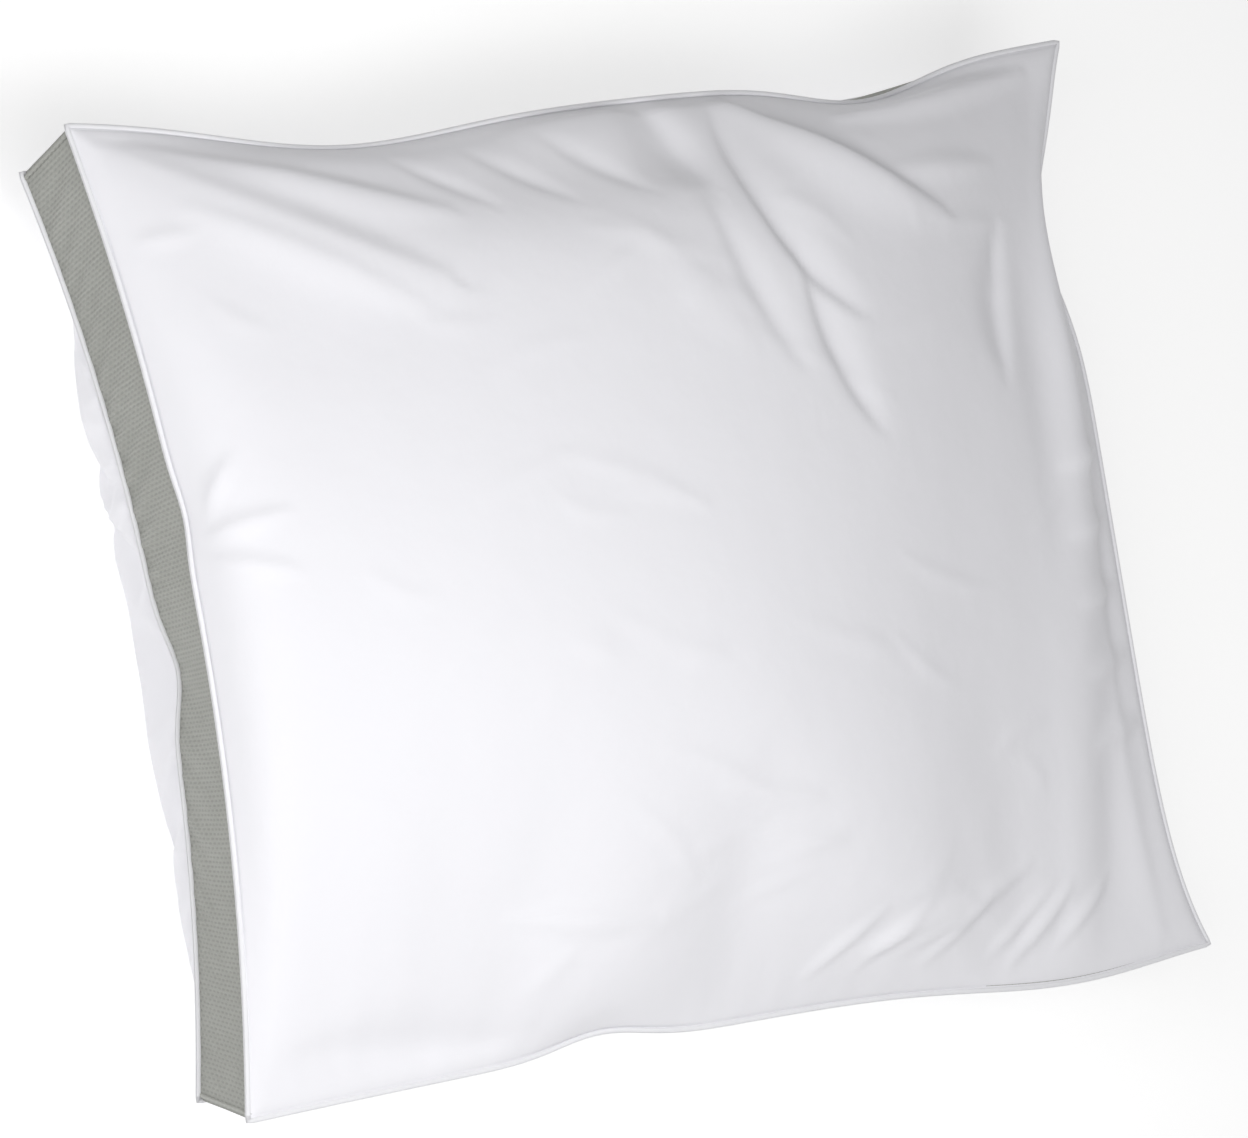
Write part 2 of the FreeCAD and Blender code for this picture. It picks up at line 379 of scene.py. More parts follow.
# %% [markdown]
# ## A finer cloth
# The simulation's squares are too coarse for small folds. Each grid of points is drawn again at any number
# of steps, with a smooth curve through its points, first one way and then the other. A panel and the gusset
# strip beside it share their seam's points, so their edges stay together however finely each is drawn.


# %% Redraw a grid
def redraw(points, steps, axis=0):
    """The points along one axis drawn again in a number of steps, on a smooth curve through them."""
    points = np.moveaxis(points, axis, 0)
    before = 3 * points[0] - 3 * points[1] + points[2]
    after = 3 * points[-1] - 3 * points[-2] + points[-3]
    padded = np.concatenate([[before], points, [after]])
    at = np.linspace(0, len(points) - 1, steps + 1)
    i = np.clip(at.astype(int), 0, len(points) - 2)
    t = (at - i).reshape(-1, *[1] * (points.ndim - 1))
    a, b, c, d = (padded[i + k] for k in range(4))
    drawn = b + 0.5 * t * (c - a + t * (2 * a - 5 * b + 4 * c - d + t * (3 * (b - c) + d - a)))
    return np.moveaxis(drawn, 0, axis)


def fine_panel(points):
    """A panel's grid of points redrawn in finer steps both ways."""
    return redraw(redraw(points, CELLS_X * FINER, 0), CELLS_Y * FINER, 1)


def outward(points):
    """The unit normal at each point of a grid."""
    normal = np.cross(np.gradient(points, axis=0), np.gradient(points, axis=1))
    return normal / np.linalg.norm(normal, axis=-1, keepdims=True)


def lifted(grid, level, side):
    """A panel held off its own allowance near the seam: side is 1 for the top panel and -1 for the bottom."""
    grid = grid.copy()
    least = SEAM_RISE * (1 - np.exp(-rim_distance / RISE_WITHIN))
    height = (grid[..., 2] - level) * side
    over = height - least
    softness = SOFT_KNEE * np.clip(rim_distance / RISE_WITHIN, 0, 1)
    height = least + 0.5 * (over + np.sqrt(over ** 2 + softness ** 2))
    grid[..., 2] = level + side * height
    return grid


FINER = 2
SEAM_RISE, RISE_WITHIN, SOFT_KNEE = 2.6 * MM, 4.0 * MM, 1.0 * MM
fine_u, fine_v = np.meshgrid(np.linspace(-0.5, 0.5, CELLS_X * FINER + 1) * CUT_LENGTH,
                             np.linspace(-0.5, 0.5, CELLS_Y * FINER + 1) * CUT_WIDTH, indexing="ij")
rim_distance = np.minimum(CUT_LENGTH / 2 - np.abs(fine_u), CUT_WIDTH / 2 - np.abs(fine_v))
top_cloth = lifted(fine_panel(cloth[top_index]), TOP_LEVEL, 1)
bottom_cloth = lifted(fine_panel(cloth[bottom_index]), BOTTOM_LEVEL, -1)
print("panel grid:", top_cloth.shape[:2])

# %% [markdown]
# ## Folds in the cotton
# The simulation gives the broad shape. The long folds that a handled pillow keeps are listed and laid in:
# each runs from one place to another on the panel with a bow, a height and a width, soft on one side and
# sharper on the other, and it narrows and fades towards both ends. Between them lie fine wrinkles, too many
# to place
# one by one: a seeded draw scatters them along three headings, the same ones on every run.

# %% The folds
# (start, end, bow to the left of the run, height, width on the left, width on the right): places are parts of
# the cut panel's half length and half width, and the rest is in millimetres
TOP_FOLDS = [
    # the head left corner: a broad band, a crease above it and a faint one below
    ((-0.45, 0.6), (-0.95, 0.95), 5, 8.0, 34, 12),
    ((-0.4, 0.75), (-0.9, 0.95), 0, 5.5, 16, 8),
    ((-0.5, 0.55), (-0.85, 0.8), 0, 2.5, 12, 7),
    ((-0.85, 0.75), (-0.95, 0.75), 0, 1.5, 5, 5),
    # the hollow along the head seam
    ((-0.6, 0.85), (0.0, 0.8), 0, -8.0, 30, 34),
    # the filling stands over the seam right of the middle
    ((-0.2, 0.95), (0.3, 0.95), 0, 6.0, 12, 22),
    ((0.07, 0.98), (0.12, 0.76), 0, -8.0, 14, 28),
    # towards the slack ear: its ridge, the long crease beside it and the short ones that answer it
    ((0.6, 0.65), (0.25, 0.95), 8, 9.0, 20, 7),
    ((0.2, 0.9), (0.35, 0.45), -20, -6.0, 16, 6),
    ((0.1, 0.7), (0.2, 0.35), -5, -3.0, 12, 8),
    ((0.25, 0.55), (0.35, 0.2), -6, -4.5, 14, 7),
    ((-0.05, 0.65), (0.1, 0.4), 0, 1.5, 12, 16),
    # on the ear itself
    ((0.9, 0.95), (0.45, 0.9), 0, 6.0, 9, 6),
    ((0.75, 0.75), (0.5, 0.75), 0, 3.0, 8, 8),
    # the panel's even slope down to the right seam, and its roll over it
    ((0.7, -0.95), (0.72, 0.45), 0, 9.0, 50, 38),
    ((0.9, -0.95), (0.9, 0.4), 0, 2.5, 24, 10),
    # the notch under the ear
    ((0.75, 0.6), (0.7, 0.3), -4, -5.0, 9, 16),
    # the foot right corner: the larger creases that fan out of the seam
    ((0.2, -0.9), (0.45, -0.8), 0, 3.0, 6, 4),
    ((0.3, -0.9), (0.6, -0.75), 0, 3.5, 6, 4),
    ((0.55, -0.95), (0.7, -0.8), 0, 3.0, 5, 4),
    # the foot side: one finger mark and two short folds
    ((-0.25, -0.75), (-0.5, -0.7), 0, 3.5, 9, 5),
    ((0.1, -0.55), (-0.1, -0.5), 0, 2.0, 8, 5),
    ((0.15, -0.65), (-0.05, -0.6), 0, 2.0, 8, 5),
    # the hollow at the foot left corner
    ((-0.9, -0.9), (-0.5, -0.95), 0, -5.0, 16, 12),
    # the left seam: three small creases that meet at its waist
    ((-0.95, 0.2), (-0.88, 0.3), 0, 2.8, 5, 6),
    ((-0.95, 0.15), (-0.8, 0.17), 0, 2.8, 5, 6),
    ((-0.95, 0.1), (-0.8, 0.05), 0, 2.8, 5, 6),
]
# fine wrinkles that run down from the head seam, and short puckers along the right seam
TOP_FOLDS += [((u, 0.92), (u + 0.15, 0.75), 0, -2.0, 7, 5) for u in (-0.45, -0.3, -0.15)]
TOP_FOLDS += [((0.97, v), (0.82, v - 0.02), 0, 2.4, 6, 8) for v in (0.1, -0.05, -0.2, -0.35, -0.5)]
# finer creases between the larger ones at the foot right corner
TOP_FOLDS += [((u, -0.93), (u + 0.15, -0.8), 0, 2.2, 4, 3) for u in (0.1, 0.2, 0.35, 0.5, 0.65)]
FOLD_STEPS = 12
END_STRENGTH, LEAST_WIDTH = 0.08, 0.35  # what a fold keeps at its ends
WRINKLES, WRINKLE_SEED = 46, 11
WRINKLE_HEADINGS = [-40, -20, 30]  # degrees from the long side


def fine_wrinkles():
    """Fine wrinkles scattered over the panel, each as a fold."""
    draw = np.random.default_rng(WRINKLE_SEED)
    made = []
    for _ in range(WRINKLES):
        place = draw.uniform(-0.85, 0.85, 2)
        heading = math.radians(draw.choice(WRINKLE_HEADINGS) + draw.uniform(-15, 15))
        reach = np.array([math.cos(heading), math.sin(heading)]) * draw.uniform(0.05, 0.15)
        height, bow = draw.uniform(0.4, 0.9), draw.uniform(-6, 6)
        made.append((tuple(place - reach), tuple(place + reach), bow, height, *draw.uniform(4, 8, 2)))
    return made


def fold_line(start, end, bow):
    """Points along one fold on the cut panel, in metres, bowed to the left of its run."""
    half_panel = np.array([CUT_LENGTH / 2, CUT_WIDTH / 2])
    run = (np.array(end) - start) * half_panel
    left = np.array([-run[1], run[0]]) / np.linalg.norm(run)
    t = np.linspace(0, 1, FOLD_STEPS + 1)[:, None]
    return start * half_panel + t * run + 4 * t * (1 - t) * bow * MM * left


def fold_height(start, end, bow, height, left_width, right_width):
    """How far one fold lifts each point of the panel."""
    line = fold_line(start, end, bow)
    lengths = np.linalg.norm(np.diff(line, axis=0), axis=1)
    best = np.full(fine_u.shape, np.inf)
    lift = np.zeros(fine_u.shape)
    done = 0.0
    for (ax, ay), (bx, by), length in zip(line[:-1], line[1:], lengths):
        dx, dy = (bx - ax) / length, (by - ay) / length
        along = (fine_u - ax) * dx + (fine_v - ay) * dy
        side = (fine_v - ay) * dx - (fine_u - ax) * dy
        away = np.hypot(along - np.clip(along, 0, length), side)
        place = (done + np.clip(along, 0, length)) / lengths.sum()
        strength = np.sin(math.pi * (END_STRENGTH + (1 - 2 * END_STRENGTH) * place))
        narrowed = LEAST_WIDTH + (1 - LEAST_WIDTH) * strength
        width = np.where(side > 0, left_width, right_width) * MM * narrowed
        shape = np.exp(-(away / width) ** 2) * strength
        nearer = away < best
        best = np.where(nearer, away, best)
        lift = np.where(nearer, shape, lift)
        done += length
    return lift * height * MM


FADE_BY_RIM = 12.0 * MM  # folds fade out this near to a seam
clear_of_rim = np.clip(rim_distance / FADE_BY_RIM, 0, 1) ** 1.5
laid_folds = TOP_FOLDS + fine_wrinkles()
lift = sum((fold_height(*fold) for fold in laid_folds), np.zeros(fine_u.shape)) * clear_of_rim
top_cloth = top_cloth + outward(top_cloth) * lift[..., None]
print(f"{len(TOP_FOLDS)} folds and {WRINKLES} fine wrinkles, up to {np.abs(lift).max() / MM:.1f} mm")

# %% [markdown]
# ## Sums on nodes
# Node trees for cloth are mostly arithmetic. One small class wraps a socket and turns Python's operators
# into Math nodes, and one method adds every other kind of node. The same class serves materials and Geometry
# Nodes, so a pattern can be written once and used for both a finish and a shape.


# %% Node helpers
class Value:
    """A socket that can be used in sums."""

    def __init__(self, socket):
        self.socket = socket
        self.tree = socket.id_data

    def math(self, operation, *others, swap=False):
        node = self.tree.nodes.new("ShaderNodeMath")
        node.operation = operation
        items = (self, *others)
        for place, item in enumerate(reversed(items) if swap else items):
            feed(node.inputs[place], item)
        return Value(node.outputs[0])

    def __add__(self, other):
        return self.math("ADD", other)

    def __sub__(self, other):
        return self.math("SUBTRACT", other)

    def __rsub__(self, other):
        return self.math("SUBTRACT", other, swap=True)

    def __mul__(self, other):
        return self.math("MULTIPLY", other)

    def __truediv__(self, other):
        return self.math("DIVIDE", other)

    def __rtruediv__(self, other):
        return self.math("DIVIDE", other, swap=True)

    def __pow__(self, other):
        return self.math("POWER", other)

    __radd__, __rmul__ = __add__, __mul__

    def sine(self):
        return self.math("SINE")

    def floor(self):
        return self.math("FLOOR")

    def absolute(self):
        return self.math("ABSOLUTE")

    def clamped(self):
        return self.math("MINIMUM", 1.0).math("MAXIMUM", 0.0)


def feed(socket, item):
    """Links a Value to a socket, or sets the socket to a plain number, colour or word."""
    if isinstance(item, Value):
        socket.id_data.links.new(item.socket, socket)
    else:
        socket.default_value = item


class Nodes:
    """A node tree being filled."""

    def __init__(self, tree):
        self.tree = tree

    def add(self, kind, settings=None, inputs=None, output=0):
        """A node of any kind: its settings are set first, then its sockets, and one output comes back."""
        node = self.tree.nodes.new(kind)
        for name, value in (settings or {}).items():
            setattr(node, name, value)
        for name, item in (inputs or {}).items():
            feed(node.inputs[name], item)
        return Value(node.outputs[output])

    def mix(self, factor, low, high):
        """A colour between two others."""
        return self.add("ShaderNodeMix", {"data_type": "RGBA"}, {0: factor, 6: low, 7: high}, output=2)


# %% [markdown]
# ## The cotton
# Percale is a plain weave of fine white threads, matt and slightly cool, with a soft bloom where light
# grazes it. A white base colour alone looks like plaster, so three things are added: the weave as a small
# bump on the cloth map, a faint cast that drifts over the panel, and a sheen that stands for the fibre ends.

# %% Helpers for a finish
def finish(name, **plain):
    """A material with its nodes and its shader; plain values are set on the shader's own sockets."""
    made = bpy.data.materials.new(name)
    made.use_nodes = True
    made.node_tree.nodes.clear()
    nodes = Nodes(made.node_tree)
    shader = nodes.tree.nodes.new("ShaderNodeBsdfPrincipled")
    for label, value in plain.items():
        shader.inputs[label.replace("_", " ")].default_value = value
    end = nodes.tree.nodes.new("ShaderNodeOutputMaterial")
    nodes.tree.links.new(shader.outputs[0], end.inputs["Surface"])
    return made, nodes, shader


def cloth_place(nodes):
    """(along, across) on the cloth map, in metres."""
    place = nodes.add("ShaderNodeUVMap", {"uv_map": "cloth_map"})
    split = nodes.add("ShaderNodeSeparateXYZ", None, {0: place}).socket.node.outputs
    return Value(split[0]), Value(split[1])


def cloud(nodes, scale, detail=2.0):
    """A noise from 0 to 1 that is fixed in the pillow, with features of about 1 / scale metres."""
    place = nodes.add("ShaderNodeTexCoord", output="Object")
    return nodes.add("ShaderNodeTexNoise", None, {"Vector": place, "Scale": scale, "Detail": detail})


def relief(nodes, height, depth, below=None):
    """A bump whose full height is depth metres."""
    inputs = {"Height": height, "Strength": 1.0, "Distance": depth}
    if below is not None:
        inputs["Normal"] = below
    return nodes.add("ShaderNodeBump", None, inputs)


def plain_weave(along, across, pitch):
    """Threads over and under each other, from 0 to 1."""
    turn = math.pi / pitch
    return ((along * turn).sine() * (across * turn).sine()).absolute() ** 0.5


# %% Cotton
THREAD_PITCH = 0.55 * MM
cotton, nodes, shader = finish("cotton_percale", Roughness=0.82, Sheen_Weight=0.25, Sheen_Roughness=0.45,
                               Specular_IOR_Level=0.25)
along, across = cloth_place(nodes)
weave = plain_weave(along, across, THREAD_PITCH)
cast = nodes.mix(cloud(nodes, 5.0, 3.0), (0.868, 0.864, 0.9, 1), (0.884, 0.88, 0.912, 1))
feed(shader.inputs["Base Color"], cast)
rumple = relief(nodes, cloud(nodes, 28.0, 3.0), 0.9 * MM)
feed(shader.inputs["Normal"], relief(nodes, weave, 0.05 * MM, rumple))

# %% [markdown]
# ## The gusset's pattern
# The wall is spacer mesh, a thick knitted cloth whose face is covered in rows of small oval dimples, each row
# half a step aside from the last. A picture of holes would look flat from the side, so the same pattern is
# used twice: Geometry Nodes push the face in by it, and the finish paints shade into the dimples with it.

# %% The dimple pattern
DIMPLE_ALONG, DIMPLE_ACROSS = 2.5 * MM, 4.2 * MM
DIMPLE_HALF_ALONG, DIMPLE_HALF_ACROSS = 0.7 * MM, 1.8 * MM
DIMPLE_DEPTH = 0.7 * MM
DIMPLE_FLOOR = 1.3  # over 1, so that a dimple's middle is flat


def dimples(along, across):
    """How deep a point lies in a dimple, from 0 on the face to 1 in the middle, by its place on the cloth."""
    row = (along / DIMPLE_ALONG).floor()
    aside = row * 0.5 - (row * 0.5).floor()
    from_row = along / DIMPLE_ALONG - row - 0.5
    step = across / DIMPLE_ACROSS + aside
    from_column = step - step.floor() - 0.5
    x = from_row * (DIMPLE_ALONG / DIMPLE_HALF_ALONG)
    y = from_column * (DIMPLE_ACROSS / DIMPLE_HALF_ACROSS)
    return (DIMPLE_FLOOR - (x * x + y * y)).clamped()


# %% Spacer mesh
spacer, nodes, shader = finish("spacer_mesh", Roughness=0.7, Sheen_Weight=0.15, Specular_IOR_Level=0.3)
along, across = cloth_place(nodes)
dimple_depth_and_shade = dimples(along, across)
knit = plain_weave(along, across, 0.9 * MM)
# painted shade: how far the middle of a dimple is mixed towards dark grey
DIMPLE_PAINTED_SHADE = 0.32  # the dark colour's share in the middle of a dimple
face = nodes.mix(cloud(nodes, 30.0), (0.39, 0.395, 0.365, 1), (0.45, 0.455, 0.425, 1))
# painted shade in the dimples: their middles are mixed towards a dark grey
feed(shader.inputs["Base Color"], nodes.mix(dimple_depth_and_shade * DIMPLE_PAINTED_SHADE, face, (0.18, 0.182, 0.172, 1)))
feed(shader.inputs["Normal"], relief(nodes, knit * (1 - dimple_depth_and_shade), 0.25 * MM))

# %% [markdown]
# ## The small finishes
# The piping is the same white cotton cut on the bias, so its threads run round it at a slant. The cord inside
# it, the sewing thread and the filling stay out of sight, but each has its own finish for whoever opens the
# pillow: twisted cord, slightly glossy thread, and a filling that scatters light like wool.

# %% Piping, cord, thread and fibre
bias, nodes, shader = finish("bias_cotton", Roughness=0.8, Sheen_Weight=0.25, Specular_IOR_Level=0.25)
along, across = cloth_place(nodes)
slant = ((along + across) * (math.pi / (1.1 * MM))).sine().absolute()
feed(shader.inputs["Base Color"], nodes.mix(cloud(nodes, 60.0), (0.84, 0.84, 0.87, 1), (0.9, 0.9, 0.92, 1)))
feed(shader.inputs["Normal"], relief(nodes, slant, 0.12 * MM, relief(nodes, cloud(nodes, 300.0), 0.3 * MM)))

cord, nodes, shader = finish("twisted_cord", Roughness=0.85, Sheen_Weight=0.2)
along, across = cloth_place(nodes)
strand_relief_and_shade = ((along + across * 2.0) * (math.pi / (2.0 * MM))).sine().absolute()
# painted shade: the cord is darker in the grooves between its strands, where its relief is lowest
feed(shader.inputs["Base Color"], nodes.mix(strand_relief_and_shade, (0.6, 0.58, 0.53, 1), (0.82, 0.8, 0.75, 1)))
feed(shader.inputs["Normal"], relief(nodes, strand_relief_and_shade, 0.3 * MM))

thread, nodes, shader = finish("sewing_thread", Roughness=0.45, Sheen_Weight=0.1, Specular_IOR_Level=0.5)
feed(shader.inputs["Base Color"], nodes.mix(cloud(nodes, 900.0), (0.75, 0.75, 0.76, 1), (0.9, 0.9, 0.91, 1)))

fibre, nodes, shader = finish("hollow_fibre", Roughness=0.95, Sheen_Weight=0.5, Sheen_Roughness=0.6)
tuft_relief_and_shade = cloud(nodes, 90.0, 6.0)
# painted shade: the filling is darker in the hollows of its relief, where the same noise is lowest
feed(shader.inputs["Base Color"], nodes.mix(tuft_relief_and_shade, (0.74, 0.74, 0.73, 1), (0.92, 0.92, 0.91, 1)))
feed(shader.inputs["Normal"], relief(nodes, tuft_relief_and_shade, 4.0 * MM))
print("finishes:", [made.name for made in (cotton, spacer, bias, cord, thread, fibre)])

# %% [markdown]
# ## From a grid to a piece
# A finished piece is a mesh with its place in its points and a cloth map, which gives each corner its place
# on the flat cloth in metres. Weave, knit and dimples all follow that map, so they bend with the cloth.
# A piece may have several grids, because a sewn cloth also has a narrow allowance turned in behind its seam.

# %% Make a piece
COTTON_THICKNESS = 0.6 * MM
MESH_THICKNESS = 2.0 * MM
TAPE_THICKNESS = 0.5 * MM
ALLOWANCE_CELLS = 3


def cloth_piece(name, grids, material):
    """A piece from grids of (points, map along, map across, which squares to keep or None)."""
    points, faces, flat, count = [], [], [], 0
    for grid, map_u, map_v, keep in grids:
        squares = quads(np.arange(map_u.size).reshape(map_u.shape))
        if keep is not None:
            squares = squares[keep.ravel()]
        used, squares = np.unique(squares, return_inverse=True)
        points.append(grid.reshape(-1, 3)[used])
        flat.append(np.stack([map_u.ravel(), map_v.ravel()], axis=-1)[used])
        faces.append(squares.reshape(-1, 4) + count)
        count += len(used)
    made = new_object(name, np.vstack(points), np.vstack(faces))
    corners = np.empty(len(made.data.loops), np.int32)
    made.data.loops.foreach_get("vertex_index", corners)
    made.data.uv_layers.new(name="cloth_map").data.foreach_set("uv", np.vstack(flat)[corners].ravel())
    made.data.materials.append(material)
    return made


def thicken(made, thickness):
    """Gives a sheet its thickness, inwards."""
    solid = made.modifiers.new("thickness", "SOLIDIFY")
    solid.thickness = thickness
    solid.offset = -1


def at_level(plan, level):
    """A plan of points put at one level."""
    return np.concatenate([plan[..., :2], np.full(plan.shape[:2] + (1,), level)], axis=-1)


def flip(*grids):
    """The same grids run the other way along their first axis, which turns their faces over."""
    return [grid[::-1] for grid in grids]


cell_x, cell_y = np.meshgrid(np.arange(CELLS_X * FINER) + 0.5, np.arange(CELLS_Y * FINER) + 0.5,
                             indexing="ij")
# How many squares lie between each square and each side: foot, right, head, left
from_sides = np.stack([cell_y, CELLS_X * FINER - cell_x, CELLS_Y * FINER - cell_y, cell_x])
in_allowance = from_sides.min(axis=0) < ALLOWANCE_CELLS
top_plan, bottom_plan = (fine_panel(sewn_layout[index]) for index in (top_index, bottom_index))

# %% The two panels
fold_in = TAPE_THICKNESS / 2 + COTTON_THICKNESS
top_allowance = at_level(top_plan, TOP_LEVEL + fold_in)
bottom_allowance = at_level(bottom_plan, BOTTOM_LEVEL - fold_in)
top_panel = cloth_piece("top_panel_cotton", [
    (top_cloth, fine_u, fine_v, None),
    (top_allowance, fine_u, fine_v, in_allowance),
], cotton)
bottom_panel = cloth_piece("bottom_panel_cotton", [
    (*flip(bottom_cloth, fine_u, fine_v), None),
    (*flip(bottom_allowance, fine_u, fine_v, in_allowance),),
], cotton)
for made in (top_panel, bottom_panel):
    thicken(made, COTTON_THICKNESS)
print("squares in the panels:", [len(made.data.polygons) for made in (top_panel, bottom_panel)])


# %% [markdown]
# ## Geometry Nodes
# What repeats is made by a tree with named inputs. A tree is run on a mesh or a curve, the result is kept as
# a plain mesh, and the modifier goes. The dimples, the piping and every stitch are made this way.

# %% Helpers for a tree
def shape_tree(name, inputs):
    """An empty tree: its nodes, and its inputs by name, with the finish last."""
    tree = bpy.data.node_groups.new(name, "GeometryNodeTree")
    tree.interface.new_socket("Shape", in_out="INPUT", socket_type="NodeSocketGeometry")
    for label, value in inputs.items():
        tree.interface.new_socket(label, in_out="INPUT", socket_type="NodeSocketFloat").default_value = value
    tree.interface.new_socket("Finish", in_out="INPUT", socket_type="NodeSocketMaterial")
    tree.interface.new_socket("Shape", in_out="OUTPUT", socket_type="NodeSocketGeometry")
    entry = tree.nodes.new("NodeGroupInput")
    return Nodes(tree), {socket.name: Value(socket) for socket in entry.outputs if socket.name}


def finish_tree(nodes, shape, given):
    """Ends a tree: instances are made real, then the finish is set."""
    real = nodes.add("GeometryNodeRealizeInstances", None, {0: shape})
    painted = nodes.add("GeometryNodeSetMaterial", None, {"Geometry": real, "Material": given["Finish"]})
    feed(nodes.tree.nodes.new("NodeGroupOutput").inputs[0], painted)
    return nodes.tree


def run_tree(made, tree, values):
    """Runs a tree on an object and returns an object that holds the result as its plain mesh."""
    modifier = made.modifiers.new(tree.name, "NODES")
    modifier.node_group = tree
    for item in tree.interface.items_tree:
        if item.in_out == "INPUT" and item.name in values:
            modifier[item.identifier] = values[item.name]
    mesh = bpy.data.meshes.new_from_object(made.evaluated_get(bpy.context.evaluated_depsgraph_get()))
    name = made.name
    bpy.data.objects.remove(made)
    mesh.shade_smooth()
    return link_new(name, mesh)


# %% A tree for the dimples
nodes, given = shape_tree("Dimples", {"Depth": DIMPLE_DEPTH, "Width": CUT_HEIGHT})
place = nodes.add("GeometryNodeInputNamedAttribute", {"data_type": "FLOAT_VECTOR"}, {"Name": "cloth_map"})
split = nodes.add("ShaderNodeSeparateXYZ", None, {0: place}).socket.node.outputs
across = Value(split[1])
PRESSED_FLAT = 1.2 * MM  # the dimples are flat this near to a seam and deepen over the next millimetre
in_strip = across.math("MINIMUM", given["Width"] - across)
off_seam = ((in_strip - PRESSED_FLAT) * (1 / MM)).clamped()
push = dimples(Value(split[0]), across) * off_seam * given["Depth"] * -1.0
normal = nodes.add("GeometryNodeInputNormal")
offset = nodes.add("ShaderNodeVectorMath", {"operation": "SCALE"}, {0: normal, "Scale": push})
moved = nodes.add("GeometryNodeSetPosition", None, {"Geometry": given["Shape"], "Offset": offset})
dimple_tree = finish_tree(nodes, moved, given)

# %% [markdown]
# ## The gusset strips
# Each side of the pillow has its own strip, and at the corners the strips are sewn edge to edge, which leaves
# a narrow groove. The grid of each strip has three steps to a row of dimples, so that every dimple comes out
# alike, and the ends are drawn in to make the groove.

# %% The strips
STEPS_PER_ROW, STEPS_PER_COLUMN = 3, 4
GROOVE_DEPTH, GROOVE_WIDTH = 1.6 * MM, 1.6 * MM
SIDES = ("foot", "right", "head", "left")
side_cells = [CELLS_X, CELLS_Y, CELLS_X, CELLS_Y]
side_starts = np.cumsum([0] + side_cells[:3])


def strip_piece(side):
    """The gusset strip of one side."""
    start, cells = side_starts[side], side_cells[side]
    coarse = cloth[closed_wall[:, start:start + cells + 1]].transpose(1, 0, 2)
    length = CUT_LENGTH if side % 2 == 0 else CUT_WIDTH
    rows, columns = round(length / DIMPLE_ALONG), round(CUT_HEIGHT / DIMPLE_ACROSS)
    drawn = redraw(redraw(coarse, rows * STEPS_PER_ROW, 0), columns * STEPS_PER_COLUMN, 1)
    map_u, map_v = np.meshgrid(np.arange(drawn.shape[0]) * DIMPLE_ALONG / STEPS_PER_ROW,
                               np.arange(drawn.shape[1]) * DIMPLE_ACROSS / STEPS_PER_COLUMN, indexing="ij")
    from_end = np.minimum(map_u, map_u.max() - map_u)
    groove = GROOVE_DEPTH * np.exp(-(from_end / GROOVE_WIDTH) ** 2)
    drawn = drawn - outward(drawn) * groove[..., None]
    made = cloth_piece(f"gusset_{SIDES[side]}_mesh", [(drawn, map_u, map_v, None)], spacer)
    return run_tree(made, dimple_tree, {"Depth": DIMPLE_DEPTH, "Width": float(map_v.max()), "Finish": spacer})


strips = [strip_piece(side) for side in range(4)]
for made in strips:
    thicken(made, MESH_THICKNESS)
    print(made.name, len(made.data.polygons), "squares")

# %% [markdown]
# ## Piping
# A piping is a strip of cotton wrapped round a thin cord, with its two edges lying flat in the seam as a
# tape. It is swept along the seam's own line, so it follows every small wave. One profile holds both parts: a
# pair of circles for the tube's wall and a thin box for the tape. The lengths along and round it become its
# map.

# %% A tree for swept pieces
PIPING_RADIUS, CORD_RADIUS, TAPE_WIDTH = 1.5 * MM, 1.0 * MM, 8.0 * MM
WALL = 0.35 * MM
PIPING_SIZES = {"Radius": PIPING_RADIUS, "Bore": PIPING_RADIUS - WALL, "Tape Width": TAPE_WIDTH,
                "Tape Thickness": TAPE_THICKNESS}
CORD_SIZES = {"Radius": CORD_RADIUS}
TUBE_STEPS, BORE_STEPS = 14, 10
PIPING_ASIDE = 0.4 * PIPING_RADIUS  # how far the tube's middle lies outside the seam's line


def capture(nodes, shape, field):
    """(shape, value) with a value kept on each of the shape's points."""
    node = nodes.tree.nodes.new("GeometryNodeCaptureAttribute")
    node.capture_items.new("FLOAT", "kept")
    feed(node.inputs[0], shape)
    feed(node.inputs[1], field)
    return Value(node.outputs[0]), Value(node.outputs[1])


def sweep_tree(name, sizes):
    """A tree that sweeps a tube along a curve; one with a bore also has a tape on its inner side."""
    nodes, given = shape_tree(name, sizes)
    path = nodes.add("GeometryNodeSetCurveNormal", {"mode": "Z_UP"}, {"Curve": given["Shape"]})
    path, run = capture(nodes, path, nodes.add("GeometryNodeSplineParameter", output="Length"))
    profile = nodes.add("GeometryNodeCurvePrimitiveCircle", None,
                        {"Resolution": TUBE_STEPS, "Radius": given["Radius"]})
    if "Bore" in sizes:
        bore = nodes.add("GeometryNodeCurvePrimitiveCircle", None,
                         {"Resolution": BORE_STEPS, "Radius": given["Bore"]})
        bore = nodes.add("GeometryNodeReverseCurve", None, {"Curve": bore})
        tape = nodes.add("GeometryNodeCurvePrimitiveQuadrilateral", None,
                         {"Width": given["Tape Width"], "Height": given["Tape Thickness"]})
        middle = nodes.add("ShaderNodeCombineXYZ", None,
                           {"X": (given["Tape Width"] * 0.5 + given["Bore"]) * -1.0})
        tape = nodes.add("GeometryNodeTransform", None, {"Geometry": tape, "Translation": middle})
        join = nodes.tree.nodes.new("GeometryNodeJoinGeometry")
        for part in (tape, bore, profile):
            feed(join.inputs[0], part)
        profile = Value(join.outputs[0])
    profile, around = capture(nodes, profile, nodes.add("GeometryNodeSplineParameter", output="Length"))
    swept = nodes.add("GeometryNodeCurveToMesh", None, {"Curve": path, "Profile Curve": profile})
    flat = nodes.add("ShaderNodeCombineXYZ", None, {"X": run, "Y": around})
    mapped = nodes.add("GeometryNodeStoreNamedAttribute", {"data_type": "FLOAT2", "domain": "CORNER"},
                       {"Geometry": swept, "Name": "cloth_map", "Value": flat})
    return finish_tree(nodes, mapped, given)


# %% The lines that thread and piping follow
LINE_FINER = 3


